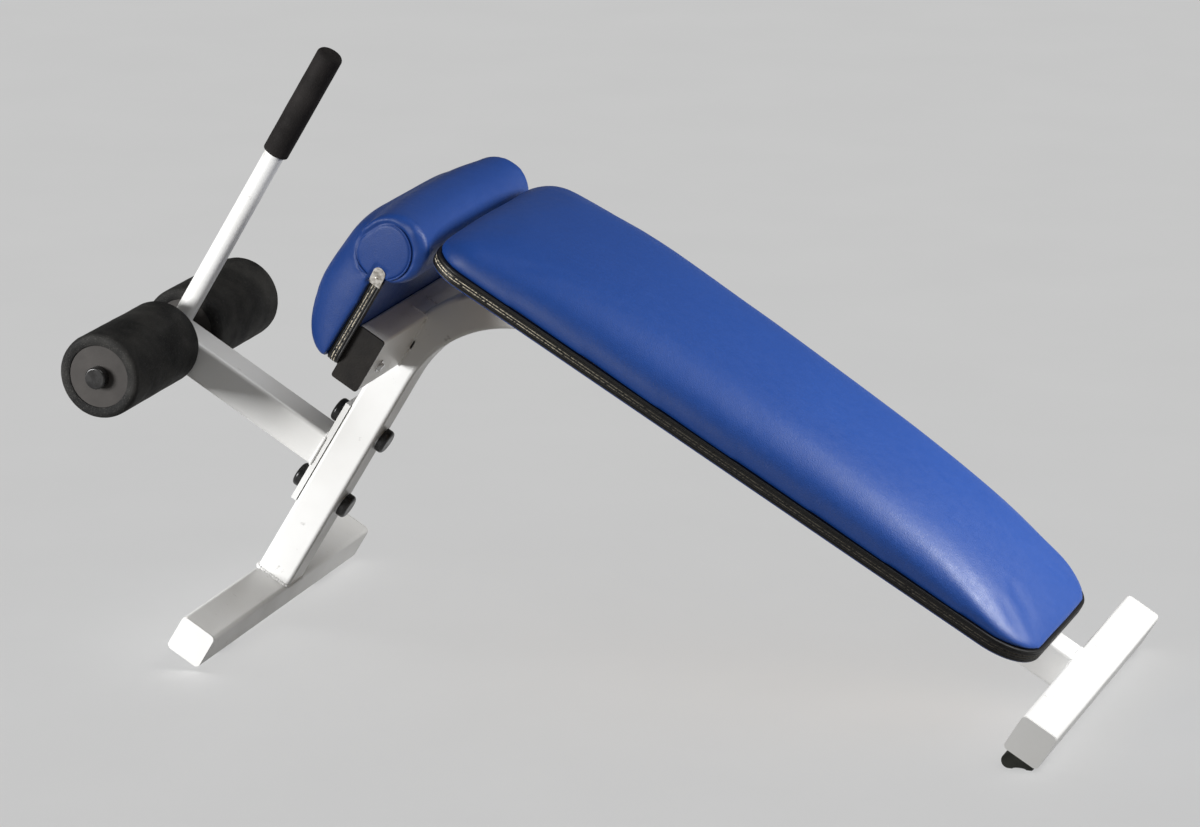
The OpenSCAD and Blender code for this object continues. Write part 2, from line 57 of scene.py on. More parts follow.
# ---------------------------------------------------------------- the bench's own axes
# Shapes are drawn as the CAD draws them, in millimetres: x back along the pad, y to the far side,
# z out of the pad's face, from the middle of the front foot tube's top face. STAND tips them onto
# the floor, in metres.
# Frame: square tube, top of the beam, distance between the foot tubes, floor gap of their edges
TUBE, CORNER = 63.5, 7.0
HALF = TUBE / 2
BEAM_TOP, PITCH, FOOT_GAP = 716.0, 1210.0, 4.0
# Roller arm, rollers and pull handle
AXLE_X, ARM_Z, FLANGE_T = -362.0, 241.0, 9.5
FLANGE_X = -HALF - FLANGE_T
ROLLER_D, ROLLER_IN, ROLLER_OUT, DISC_D = 141.0, 42.0, 283.0, 103.0
HANDLE_D, GRIP_D, GRIP_Z, GRIP_LEN, HANDLE_TOP = 34.0, 45.0, 622.0, 201.0, 815.0
# Back pad: plan, board and edge strip
PAD_FRONT, PAD_LEN, PAD_HALF, PAD_TAPER, FRONT_R, REAR_R = -4.0, 1142.0, 248.5, 48.0, 60.0, 88.0
BOARD_T, TRIM_H, TRIM_T, TRIM_GAP, RIBS = 22.0, 20.0, 3.5, 1.0, 5
# The strip's rim stands this far above its CAD solid, to hide the board's edge
TRIM_RIM = 1.6
# Cross tube, with the slot left open in the weld behind it
CROSS_X, CROSS_D, CROSS_Z, CROSS_H, VENT = -47.0, 50.0, 452.0, 101.0, (485.0, 507.0)
# Knee pad: board, roll along the top, strip and clips
KNEE_HALF, KNEE_Z, KNEE_R, KNEE_INSET = 232.0, 470.0, 24.0, 10.0
KNEE_FRONT = CROSS_X - BOARD_T
ROLL_X, ROLL_Z, ROLL_R = -69.0, 690.0, 61.0
STRIP_TOP = KNEE_Z + 170
CLIP_X, CLIP_Z, CLIP_LEAN = KNEE_FRONT + BOARD_T / 2, STRIP_TOP - 10, math.radians(15)
# Seam of the roll's round end panels
SEAM_R, SEAM_X, SEAM_Z = 48.5, ROLL_X - 3, ROLL_Z

TILT = math.atan2(BEAM_TOP, PITCH)
_cos, _sin = math.cos(TILT), math.sin(TILT)
_low = _cos * AXLE_X + _sin * ARM_Z - ROLLER_D / 2
_high = _cos * (PITCH + HALF) + _sin * BEAM_TOP
_floor = -_sin * HALF - _cos * TUBE - FOOT_GAP
STAND = (Matrix.Translation((-(_low + _high) / 2000, 0, -_floor / 1000))
         @ Matrix.Rotation(TILT, 4, "Y") @ Matrix.Scale(0.001, 4))
scene = bpy.context.scene


# ---------------------------------------------------------------- materials
class Shader:
    """A Principled material whose colour, roughness and bump come from procedural nodes."""

    def __init__(self, name, **values):
        self.material = bpy.data.materials.new(name)
        self.material.use_nodes = True
        self.tree = self.material.node_tree
        self.bsdf = self.tree.nodes["Principled BSDF"]
        for key, value in values.items():
            self.bsdf.inputs[key.replace("_", " ")].default_value = value
        self.coord = self.node("ShaderNodeTexCoord").outputs["Object"]
        self.height = None

    def node(self, kind, **values):
        made = self.tree.nodes.new(kind)
        for key, value in values.items():
            if key in made.inputs:
                self.put(made.inputs[key], value)
            else:
                setattr(made, key, value)
        return made

    def put(self, socket, value):
        """Links a socket to another, or sets it."""
        if isinstance(value, bpy.types.NodeSocket):
            self.tree.links.new(value, socket)
        else:
            socket.default_value = value

    def stretched(self, factors):
        """Coordinates that make a pattern's grain run along one axis."""
        made = self.node("ShaderNodeMapping", Vector=self.coord)
        made.inputs["Scale"].default_value = factors
        return made.outputs["Vector"]

    def noise(self, scale, detail=3.0, at=None):
        return self.node("ShaderNodeTexNoise", Vector=at or self.coord, Scale=scale,
                         Detail=detail).outputs["Fac"]

    def cells(self, scale):
        return self.node("ShaderNodeTexVoronoi", Vector=self.coord, Scale=scale).outputs["Distance"]

    def span(self, value, low, high, to_low=0.0, to_high=1.0):
        """Stretches a range of values over another, clamped at its ends."""
        made = self.node("ShaderNodeMapRange", Value=value)
        for key, number in zip(("From Min", "From Max", "To Min", "To Max"),
                               (low, high, to_low, to_high)):
            made.inputs[key].default_value = number
        return made.outputs["Result"]

    def mix(self, factor, a, b):
        made = self.node("ShaderNodeMix", data_type="RGBA")
        self.put(made.inputs["Factor"], factor)
        for socket, colour in ((made.inputs[6], a), (made.inputs[7], b)):
            self.put(socket, (*colour, 1.0) if isinstance(colour, tuple) else colour)
        return made.outputs[2]

    def colour(self, value):
        self.put(self.bsdf.inputs["Base Color"], value)
        return self

    def rough(self, value):
        self.put(self.bsdf.inputs["Roughness"], value)
        return self

    def bump(self, height, depth):
        """Adds a layer of relief, depth in metres."""
        made = self.node("ShaderNodeBump", Height=height, Distance=depth)
        if self.height is not None:
            self.put(made.inputs["Normal"], self.height)
        self.height = made.outputs["Normal"]
        self.put(self.bsdf.inputs["Normal"], self.height)
        return self


def white_paint():
    m = Shader("white_paint", Specular_IOR_Level=0.5, Coat_Weight=0.15, Coat_Roughness=0.12)
    cloud = m.span(m.noise(7.0, 5), 0.35, 0.7)
    scuff = m.span(m.noise(38.0, 8, m.stretched((1.0, 3.5, 1.0))), 0.69, 0.74)
    m.colour(m.mix(scuff, m.mix(cloud, (0.84, 0.84, 0.83), (0.78, 0.775, 0.755)),
                   (0.55, 0.54, 0.52)))
    m.rough(m.span(m.noise(24.0, 4), 0.3, 0.75, 0.3, 0.46))
    return m.bump(m.noise(330.0, 2), 0.00012).bump(m.noise(1500.0, 2), 0.00003).material


def vinyl():
    m = Shader("blue_vinyl", Specular_IOR_Level=0.4)
    broad = m.span(m.noise(6.0, 4), 0.3, 0.7)
    fine = m.span(m.noise(420.0, 3), 0.3, 0.7)
    base = m.mix(broad, (0.0085, 0.050, 0.245), (0.0105, 0.058, 0.272))
    m.colour(m.mix(fine, base, (0.008, 0.045, 0.213)))
    m.rough(m.span(m.noise(60.0, 4), 0.3, 0.7, 0.40, 0.48))
    return (m.bump(m.cells(760.0), 0.00022).bump(m.noise(300.0, 4), 0.00016)
            .bump(m.noise(22.0, 2), 0.0006).material)


def strip_rubber():
    m = Shader("edge_trim", Specular_IOR_Level=0.28)
    flecks = m.span(m.noise(520.0, 3), 0.60, 0.74)
    m.colour(m.mix(flecks, (0.0040, 0.0037, 0.0036), (0.030, 0.025, 0.018)))
    m.rough(m.span(m.noise(150.0, 3), 0.3, 0.7, 0.40, 0.6))
    return m.bump(m.noise(700.0, 3), 0.00022).material


# Painted highlight: the pale colour of the grooves between the strip's black ribs stands in for the
# lines of light along the ribs, brighter towards the front.
def strip_painted_highlight():
    m = Shader("edge_trim_painted_highlight", Specular_IOR_Level=0.3)
    flecks = m.span(m.noise(260.0, 4), 0.36, 0.58)
    # painted highlight lines, brighter at the front, in metres along the bench
    front_back = m.node("ShaderNodeSeparateXYZ", Vector=m.coord).outputs["X"]
    along = m.span(front_back, -0.2, 0.15, 1.0, 0.12)
    highlight_colour = m.mix(along, (0.035, 0.03, 0.023), (0.78, 0.70, 0.54))
    m.colour(m.mix(flecks, (0.006, 0.005, 0.004), highlight_colour))
    m.rough(m.span(m.noise(200.0, 2), 0.3, 0.7, 0.7, 0.9))
    return m.bump(m.noise(500.0, 3), 0.0002).material


def foam(name, dark, light, rough):
    m = Shader(name, Specular_IOR_Level=0.12)
    pores = m.span(m.cells(520.0), 0.0, 0.55)
    flecks = m.span(m.noise(780.0, 2), 0.60, 0.72)
    patches = m.span(m.noise(16.0, 5), 0.4, 0.75)
    worn = tuple(0.6 * d + 0.4 * g for d, g in zip(dark, light))
    m.colour(m.mix(flecks, m.mix(patches, dark, worn), light))
    m.rough(m.span(m.noise(45.0, 4), 0.3, 0.7, rough - 0.09, rough + 0.07))
    return m.bump(pores, 0.0003).bump(m.noise(90.0, 5), 0.0007).material


def plastic(name, dark, light, rough, grain=900.0, depth=0.00008, shine=0.15):
    m = Shader(name, Specular_IOR_Level=shine)
    m.colour(m.mix(m.span(m.noise(28.0, 5), 0.35, 0.7), dark, light))
    m.rough(m.span(m.noise(70.0, 4), 0.3, 0.7, rough - 0.06, rough + 0.08))
    return m.bump(m.noise(grain, 3), depth).material


def metal(name, base, stain, rough):
    m = Shader(name, Metallic=1.0)
    m.colour(m.mix(m.span(m.noise(120.0, 5), 0.42, 0.72), base, stain))
    m.rough(m.span(m.noise(260.0, 4), 0.3, 0.7, rough - 0.08, rough + 0.12))
    return m.bump(m.noise(900.0, 3), 0.00005).material


def plywood():
    m = Shader("plywood", Specular_IOR_Level=0.3)
    grain = m.noise(9.0, 6, m.stretched((1.0, 9.0, 9.0)))
    m.colour(m.mix(m.span(grain, 0.35, 0.68), (0.36, 0.23, 0.12), (0.55, 0.40, 0.24)))
    m.rough(m.span(grain, 0.3, 0.7, 0.62, 0.8))
    return m.bump(m.noise(60.0, 4, m.stretched((1.0, 14.0, 14.0))), 0.0004).material


PAINT, VINYL, STRIP, PAINTED_HIGHLIGHT = white_paint(), vinyl(), strip_rubber(), strip_painted_highlight()
ROLLER_FOAM = foam("roller_foam", (0.010, 0.010, 0.010), (0.075, 0.072, 0.066), 0.72)
GRIP_FOAM = foam("grip_foam", (0.010, 0.0088, 0.0085), (0.035, 0.031, 0.030), 0.78)
CAP_BLACK = plastic("cap_black", (0.008, 0.008, 0.008), (0.014, 0.0135, 0.013), 0.26, shine=0.35)
PLUG_BLACK = plastic("plug_black", (0.0065, 0.0055, 0.005), (0.014, 0.012, 0.010), 0.55, 420.0, 0.0003)
DISC_GREY = plastic("disc_grey", (0.038, 0.035, 0.033), (0.050, 0.046, 0.043), 0.46, 500.0, 0.00015)
SLEEVE = plastic("sleeve", (0.5, 0.5, 0.48), (0.6, 0.6, 0.57), 0.5)
FOOT_RUBBER = plastic("foot_rubber", (0.018, 0.019, 0.017), (0.04, 0.042, 0.036), 0.6, 300.0, 0.0003)
ZINC = metal("zinc_steel", (0.62, 0.62, 0.62), (0.42, 0.41, 0.39), 0.34)
NICKEL = metal("nickel", (0.84, 0.80, 0.74), (0.20, 0.17, 0.13), 0.22)
PLYWOOD = plywood()

SKIN = {
    PAINT: ["frame_tube", "front_foot_tube", "rear_foot_tube", "foot_end_plates", "cross_tube",
            "flange_plate", "roller_arm_tube", "handle_tube"],
    ZINC: ["flange_bolts", "flange_nuts", "flange_washers", "axle", "axle_spacers",
           "back_pad_bolts", "back_pad_washers", "back_pad_tee_nuts", "knee_pad_bolts",
           "knee_pad_washers", "knee_pad_tee_nuts"],
    NICKEL: ["trim_clips"],
    CAP_BLACK: ["bolt_caps", "axle_caps"],
    PLUG_BLACK: ["cross_tube_plugs", "roller_arm_plug"],
    DISC_GREY: ["near_roller_discs", "far_roller_discs"],
    SLEEVE: ["near_roller_core", "far_roller_core"],
    FOOT_RUBBER: ["front_rubber_feet", "rear_rubber_feet"],
    PLYWOOD: ["back_pad_board"],
    VINYL: ["knee_pad_board"],
}
for look, names in SKIN.items():
    for name in names:
        mesh = frame["nodes"][name].data
        mesh.materials.clear()
        mesh.materials.append(look)


# ---------------------------------------------------------------- mesh helpers
def quads(rows, columns, closed_rows=False):
    """Faces of a grid of points stored row by row, each row a closed ring."""
    faces = []
    for i in range(rows if closed_rows else rows - 1):
        for j in range(columns):
            a, b = i * columns, ((i + 1) % rows) * columns
            k = (j + 1) % columns
            faces.append((a + j, a + k, b + k, b + j))
    return faces


def capped(rows, columns):
    """The same, with the first and last rings closed."""
    last = (rows - 1) * columns
    return quads(rows, columns) + [tuple(range(columns)), tuple(range(last, last + columns))]


def moved_on(faces, start):
    """The faces of a shape whose points begin at start."""
    return [tuple(start + i for i in face) for face in faces]


def piece(name, points, faces, look, body="frame", replaces=()):
    """A mesh drawn in the bench's own axes, stood on the floor and riding on a body."""
    mesh = bpy.data.meshes.new(name)
    mesh.from_pydata([tuple(p) for p in points], [], faces)
    mesh.validate()
    made = bpy.data.objects.new(name, mesh)
    scene.collection.objects.link(made)
    return finish_piece(made, look, body, replaces)


def finish_piece(made, look, body="frame", replaces=()):
    """Stands a drawn piece on the floor and says what it is and what it rides on."""
    made.data.transform(STAND)
    outward(made.data)
    made.data.materials.clear()
    made.data.materials.append(look)
    made.data.shade_smooth()
    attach(made, body)
    if replaces:
        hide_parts(*replaces)
    return made


def outward(mesh):
    """Merges doubled points and turns every face outwards."""
    work = bmesh.new()
    work.from_mesh(mesh)
    bmesh.ops.remove_doubles(work, verts=work.verts, dist=1e-6)
    bmesh.ops.recalc_face_normals(work, faces=work.faces)
    work.to_mesh(mesh)
    work.free()


def smooth_line(points, count):
    """Resamples an open line of points evenly, through a Catmull-Rom curve."""
    p = np.array(points, float)
    p = np.vstack([2 * p[0] - p[1], p, 2 * p[-1] - p[-2]])
    dense = []
    for i in range(1, len(p) - 2):
        for t in np.linspace(0, 1, 24, endpoint=False):
            a, b, c, d = p[i - 1:i + 3]
            dense.append(0.5 * (2 * b + (c - a) * t + (2 * a - 5 * b + 4 * c - d) * t * t
                                + (3 * b - a - 3 * c + d) * t ** 3))
    dense.append(p[-2])
    return spaced(np.array(dense), count)


def steps_of(line):
    """The distance from each point of a line to the next."""
    return np.linalg.norm(np.diff(line, axis=0), axis=1)


def directions(line, closed):
    """Unit direction of travel at each point of a line."""
    along = np.roll(line, -1, axis=0) - np.roll(line, 1, axis=0) if closed else np.gradient(line, axis=0)
    return along / np.linalg.norm(along, axis=1, keepdims=True)


def spaced(line, count):
    """Points evenly spaced along a line of points."""
    along = np.concatenate([[0], np.cumsum(steps_of(line))])
    at = np.linspace(0, along[-1], count)
    return np.stack([np.interp(at, along, line[:, k]) for k in range(line.shape[1])], axis=1)


def lathe(profile, axis_point, axis, across, segments):
    """Points and faces of a closed profile, in (radius, distance along the axis), turned round."""
    other = axis.cross(across)
    points = []
    for i in range(segments):
        a = 2 * math.pi * i / segments
        out = across * math.cos(a) + other * math.sin(a)
        points += [axis_point + out * r + axis * d for r, d in profile]
    return points, quads(segments, len(profile), closed_rows=True)


# ---------------------------------------------------------------- soft pieces: simulated cover
def remeshed(name, shells, voxel, smoothing):
    """One closed skin round overlapping shells, in metres, drawn in the bench's own axes."""
    points, faces = [], []
    for shell_points, shell_faces in shells:
        start = len(points)
        points += [tuple(c * 0.001 for c in p) for p in shell_points]
        faces += moved_on(shell_faces, start)
    mesh = bpy.data.meshes.new(name)
    mesh.from_pydata(points, [], faces)
    made = bpy.data.objects.new(name, mesh)
    scene.collection.objects.link(made)
    outward(mesh)
    remesh = made.modifiers.new("remesh", "REMESH")
    remesh.mode = "VOXEL"
    remesh.voxel_size = voxel
    add_smoothing(made, smoothing)
    apply_all(made)
    return made


def add_smoothing(made, iterations):
    ease = made.modifiers.new("ease", "SMOOTH")
    ease.factor, ease.iterations = 0.5, iterations


def apply_all(made):
    """Turns a piece's modifiers into its mesh."""
    graph = bpy.context.evaluated_depsgraph_get()
    mesh = bpy.data.meshes.new_from_object(made.evaluated_get(graph))
    made.modifiers.clear()
    made.data = mesh


def coords(mesh):
    """The mesh's points, one row each."""
    flat = np.zeros(len(mesh.vertices) * 3, np.float32)
    mesh.vertices.foreach_get("co", flat)
    return flat.reshape(-1, 3).astype(float)


def put_coords(mesh, points):
    mesh.vertices.foreach_set("co", points.astype(np.float32).ravel())
    mesh.update()


def puffed(made, held, pressure, cap, frames=20):
    """Blows the cover out by cloth simulation. Points for which held is true stay, and no other
    point moves further than cap, in metres."""
    rest = coords(made.data)
    group = made.vertex_groups.new(name="held")
    group.add([int(i) for i in np.nonzero(held)[0]], 1.0, "REPLACE")
    cloth = made.modifiers.new("cover", "CLOTH")
    settings = cloth.settings
    settings.quality = 6
    settings.mass = 0.4
    settings.tension_stiffness = settings.compression_stiffness = 25
    settings.shear_stiffness = 12
    settings.bending_stiffness = 2
    settings.use_pressure = True
    settings.uniform_pressure_force = pressure
    settings.effector_weights.gravity = 0
    settings.vertex_group_mass = "held"
    cloth.point_cache.frame_start, cloth.point_cache.frame_end = 1, frames
    for f in range(1, frames + 1):
        scene.frame_set(f)
    graph = bpy.context.evaluated_depsgraph_get()
    moved = coords(made.evaluated_get(graph).data) - rest
    made.modifiers.clear()
    scene.frame_set(1)
    length = np.linalg.norm(moved, axis=1, keepdims=True)
    share = cap * np.tanh(length / cap) / np.maximum(length, 1e-9)
    put_coords(made.data, rest + moved * share)
    made.vertex_groups.clear()


def relaxed(made, iterations, subdivide=0):
    """Smooths a cover, on a finer mesh if asked."""
    if subdivide:
        sub = made.modifiers.new("subdivide", "SUBSURF")
        sub.levels = sub.render_levels = subdivide
    add_smoothing(made, iterations)
    apply_all(made)


def normals(mesh):
    return np.array([v.normal for v in mesh.vertices])


def lumps(at, sizes):
    """Slow unevenness, -1 to 1 at each point; sizes are those of its lumps along the three axes."""
    return np.array([noise.noise(Vector(p)) for p in at / sizes])


def finish_cover(made, at, replaced):
    """Gives a cover its points, in millimetres, and stands it on the floor."""
    put_coords(made.data, at / 1000)
    made.data.transform(Matrix.Scale(1000, 4))
    finish_piece(made, VINYL, replaces=[replaced])


# ---------------------------------------------------------------- back pad
# Cover before it is blown out: height at the front, rise to the crown, fall to the rear, lengths
# over which its ends are rounded down, and the power that squares off its sections
COVER_FRONT, COVER_RISE, COVER_FALL, FRONT_DROP, REAR_DROP, CROWN = 47.5, 37.0, 54.0, 70.0, 260.0, 0.6


def pad_w(x):
    """Half the pad's width at x, before its corners are rounded."""
    return PAD_HALF - PAD_TAPER * x / PAD_LEN


def plan_w(x):
    """Half the pad's width at x, with its corners rounded."""
    for r, over in ((FRONT_R, FRONT_R - x), (REAR_R, x - PAD_LEN + REAR_R)):
        if over > 0:
            return pad_w(x + over if x < r else x - over) - r + math.sqrt(max(0.0, r * r - over * over))
    return pad_w(x)


def end_drop(over, span, power):
    """1 along the pad, falling to 0 over a length at its end."""
    return max(0.001, 1 - (max(0.0, over) / span) ** power) ** (1 / power)


def foam_h(x):
    """Height of the cover before it is blown out, a little under the foam's in the CAD."""
    s = x / PAD_LEN
    a, b = min(1.0, s / 0.28), max(0.0, (s - 0.4) / 0.6)
    crown = COVER_FRONT + COVER_RISE * a * (2 - a) - COVER_FALL * b ** 2.6
    return (crown * end_drop(FRONT_DROP - x, FRONT_DROP, 3)
            * end_drop(x - PAD_LEN + REAR_DROP, REAR_DROP, 2.4))


def pad_outline(step=7.0):
    """The back pad's outline in plan, evenly spaced, with the outward direction at each point."""
    w0, w1 = pad_w(FRONT_R), pad_w(PAD_LEN - REAR_R)
    near = [(0.0, 0.0), (0.0, -(w0 - FRONT_R))]
    near += [(FRONT_R * (1 - math.cos(a)), -(w0 - FRONT_R + FRONT_R * math.sin(a)))
             for a in np.radians(np.linspace(4, 90, 24))]
    near += [(PAD_LEN - REAR_R * (1 - math.sin(a)), -(w1 - REAR_R + REAR_R * math.cos(a)))
             for a in np.radians(np.linspace(0, 86, 30))]
    near += [(PAD_LEN, -(w1 - REAR_R)), (PAD_LEN, 0.0)]
    loop = np.array(near + [(x, -y) for x, y in near[-2:0:-1]] + [near[0]])
    loop[:, 0] += PAD_FRONT
    line = spaced(loop, int(steps_of(loop).sum() / step) + 1)[:-1]
    along = directions(line, True)
    return line, np.stack([-along[:, 1], along[:, 0]], axis=1) * -1


def back_pad_shell():
    """The cover before it is blown out: sections from front to rear, tucked in at the board."""
    tuck, under, hem = 2.0, 1.0, -3.0
    stations = [0.5, 2, 5, 9, 14, 20, 27, 35, 44, 54, 65, 78]
    stations += list(np.linspace(92, 1030, 54))
    stations += [1045, 1060, 1073, 1085, 1095, 1104, 1112, 1119, 1125, 1130, 1134.5, 1138, 1140, 1141.5]
    angles = np.radians(np.linspace(0, 180, 49))
    points = []
    for x in stations:
        w, h = plan_w(x) - tuck, foam_h(x)
        row = [(x, w * math.copysign(abs(math.cos(a)) ** CROWN, math.cos(a)),
                h * max(0.0, math.sin(a)) ** CROWN) for a in angles]
        row[0], row[-1] = (x, w, 0.0), (x, -w, 0.0)
        lower = [(x, -(w - under), hem), (x, 0.0, hem), (x, w - under, hem)]
        points += [(PAD_FRONT + p[0], p[1], BEAM_TOP + BOARD_T + p[2]) for p in row + lower]
    return points, capped(len(stations), len(angles) + len(lower))


def back_pad():
    made = remeshed("back_pad_cover", [back_pad_shell()], voxel=0.006, smoothing=6)
    at = coords(made.data) * 1000
    level = at[:, 2] - (BEAM_TOP + BOARD_T)
    held_below = 5.0
    puffed(made, level < held_below, pressure=1.6, cap=0.0035)
    relaxed(made, 24)
    at = coords(made.data) * 1000
    level = at[:, 2] - (BEAM_TOP + BOARD_T)
    # the foam's own unevenness, and short gathers where the cover is pulled round the corners
    uneven, gathered, band, fade = 1.1, 0.2, 22, 11
    lift = lumps(at, (190, 130, 130)) * uneven
    for cx, r in ((PAD_FRONT + FRONT_R, FRONT_R), (PAD_FRONT + PAD_LEN - REAR_R, REAR_R)):
        inner = pad_w(cx - PAD_FRONT) - r
        turn = np.arctan2(np.abs(at[:, 1]) - inner, np.abs(at[:, 0] - cx) + 1e-6)
        reach = np.hypot(np.abs(at[:, 1]) - inner, at[:, 0] - cx)
        outside = (at[:, 0] < cx) if cx < PAD_LEN / 2 else (at[:, 0] > cx)
        near = outside * (np.abs(at[:, 1]) > inner) * np.clip((reach - r + band) / 20, 0, 1)
        low = np.exp(-np.clip(level, 0, None) / fade)
        quarter = np.sin(np.clip(turn, 0, math.pi / 2) * 2)
        lift += near * low * gathered * np.cos(turn * r * 0.4) * quarter
    finish_cover(made, at + normals(made.data) * lift[:, None], "back_pad_cushion")


def strip_profile(height):
    """Ribbed strip: (distance out from the board, height) round its section, rib by rib, ending in
    a lip over the board's edge."""
    pitch, depth, base, lip, lip_t = height / RIBS, 1.3, -2.2, -9.0, 0.4
    ribs = []
    for i in range(RIBS):
        edge = 0.55 if i in (0, RIBS - 1) else 0.0
        middle = (i + 0.5) * pitch
        for a in np.radians((-74, -48, -18, 18, 48, 74)):
            ribs.append((depth * (math.cos(a) - 1) - edge, middle + 0.43 * pitch * math.sin(a)))
    return ([(-TRIM_T, 0.3), (base, 0.0)] + ribs
            + [(base, height), (lip, height), (lip, height - lip_t), (-TRIM_T, height - lip_t)])


def painted_highlight_grooves(made, columns):
    """Gives the two middle grooves, known by their place in each ring, the pale material that paints
    highlight lines along the strip.
    """
    made.data.materials.append(PAINTED_HIGHLIGHT)
    faces_per_rib = 6
    grooves = {faces_per_rib * i + side for i in (2, 3) for side in (0, 1)}
    for k, face in enumerate(made.data.polygons):
        if k % columns in grooves:
            face.material_index = 1


def back_pad_trim():
    line, out = pad_outline()
    profile = strip_profile(TRIM_H + TRIM_RIM)
    points = [(x + ox * n, y + oy * n, BEAM_TOP + TRIM_GAP + z)
              for (x, y), (ox, oy) in zip(line, out) for n, z in profile]
    made = piece("back_pad_strip", points, quads(len(line), len(profile), closed_rows=True), STRIP,
                 replaces=["back_pad_trim"])
    painted_highlight_grooves(made, len(profile))


def back_pad_wrap():
    """The cover's hem, folded round the board's lower edge and stapled under it."""
    line, out = pad_outline()
    folded, ragged_by, staples_in, apart = -28.0, 2.5, 17, 6
    profile = [(-TRIM_T - 0.2, 3.0), (-3.0, 2.0), (-2.2, 0.9), (-2.4, -0.2), (-3.6, -0.8),
               (folded, -0.8), (folded, 0.2), (-TRIM_T - 1, 0.3)]
    points = []
    for k, ((x, y), (ox, oy)) in enumerate(zip(line, out)):
        for n, z in profile:
            ragged = ragged_by * noise.noise(Vector((k * 0.35, 0, 0))) if n == folded else 0.0
            points.append((x + ox * (n + ragged), y + oy * (n + ragged), BEAM_TOP + z))
    piece("back_pad_hem", points, quads(len(line), len(profile), closed_rows=True), VINYL)
    points, faces = [], []
    for (x, y), (ox, oy) in list(zip(line, out))[::apart]:
        # none where the beam carries the board
        if abs(y) < HALF + 12:
            continue
        across = Vector((-oy, ox, 0))
        centre = Vector((x - ox * staples_in, y - oy * staples_in, BEAM_TOP - 0.7))
        add_staple(points, faces, centre, across)
    piece("back_pad_staples", points, faces, ZINC)


def add_staple(points, faces, centre, across, length=11.0, wire=1.0):
    """Adds a square wire with both legs up in the board."""
    side = Vector((-across.y, across.x, 0))
    start = len(points)
    steps = [(-0.5, 0.6), (-0.47, -0.4), (-0.4, -0.75), (0.4, -0.75), (0.47, -0.4), (0.5, 0.6)]
    for t, drop in steps:
        for s, d in ((-0.5, 0.0), (0.5, 0.0), (0.5, -0.5), (-0.5, -0.5)):
            points.append(centre + across * (t * length) + side * (s * wire)
                          + Vector((0, 0, drop + d * wire)))
    faces += moved_on(capped(len(steps), 4), start)


# ---------------------------------------------------------------- knee pad
def knee_end(y, start, half, power):
    """1 in the middle of the knee pad, falling to 0 at its ends."""
    return max(0.0, 1 - (max(0.0, abs(y) - start) / (half - start)) ** power) ** (1 / power)


def sweep(y):
    """Share of the knee pad's lean to the rear at a distance y from the middle."""
    return (abs(y) / KNEE_HALF) ** 3.3


def knee_front_shell():
    """Front of the knee pad, section by section: from the board's lower edge up to the roll."""
    # depth out of the board and rise above its lower edge, round the middle section
    line = smooth_line([(0, 0), (20, 1), (42, 14), (60, 42), (73, 84), (80, 128), (83, 168),
                        (80, 207), (68, 232), (41, 249), (0, 249)], 34)
    half, rounded_from, inset, most_lean, lean_from = KNEE_HALF - 1.5, 186, 4, 20, 95
    ends = [-half + d for d in (0, 0.6, 1.8, 3.6, 6, 9, 13, 18, 24, 31, 39, 50, 62)]
    ys = ends + list(np.linspace(-158, 158, 15)) + [-y for y in ends[::-1]]
    points = []
    for y in ys:
        e = knee_end(y, rounded_from, half, 2.3)
        for depth, rise in line:
            low = 1 - (1 - e) * 0.10
            top = min(1.0, max(0.0, (rise - lean_from) / lean_from))
            lean = most_lean * sweep(y) * top * top * (3 - 2 * top) * min(1.0, depth / 30)
            points.append((KNEE_FRONT + inset - (depth - lean + inset) * (0.05 + 0.95 * e), y,
                           KNEE_Z + 2 + rise * low + 12 * (1 - e)))
        points.append((KNEE_FRONT + inset, y, KNEE_Z + 120))
    return points, capped(len(ys), len(line) + 1)


def knee_roll_shell():
    """The roll along the top, its ends swept back, with soft shoulders and flat end panels."""
    # side, radius of the shoulder, and how far the shoulder closes in on the end panel's seam
    ends = ((-1, 15.0, 1.0), (1, 8.0, 0.45))
    thinner, swept = 4, 13
    around = np.radians(np.linspace(0, 360, 73)[:-1])
    stations = []
    for side, shoulder, shrink in ends:
        half = [(side * y, 0.0) for y in np.linspace(0, KNEE_HALF - shoulder, 22)]
        half += [(side * (KNEE_HALF - shoulder * (1 - math.sin(a))), shrink * (1 - math.cos(a)))
                 for a in np.radians(np.linspace(0, 90, 10))[1:]]
        stations = half[:0:-1] if side < 0 else stations + half
    points = []
    for y, t in stations:
        w = sweep(y)
        r = ROLL_R - 0.5 - thinner * w
        cx, cz = ROLL_X + swept * w, ROLL_Z + swept * w
        cx, cz, r = cx + (SEAM_X - cx) * t, cz + (SEAM_Z - cz) * t, r + (SEAM_R - r) * t
        points += [(cx + r * math.cos(a), y, cz + r * math.sin(a)) for a in around]
    return points, capped(len(stations), len(around))


def seam_r(turn):
    """Radius of the crease round the end panel: pulled in where the panel runs into the front."""
    front, dip, width = math.radians(155), 13, 0.75
    apart = (np.asarray(turn) - front + math.pi) % (2 * math.pi) - math.pi
    return SEAM_R - dip * np.exp(-(apart / width) ** 2)


def round_seam(at):
    """Each point's turn round the end panel's middle, and its distance past the panel's crease."""
    turn = np.arctan2(at[:, 2] - SEAM_Z, at[:, 0] - SEAM_X)
    return turn, np.hypot(at[:, 0] - SEAM_X, at[:, 2] - SEAM_Z) - seam_r(turn)


def bell(value, middle, width):
    """1 at the middle, falling away on both sides."""
    return np.exp(-((value - middle) / width) ** 2)


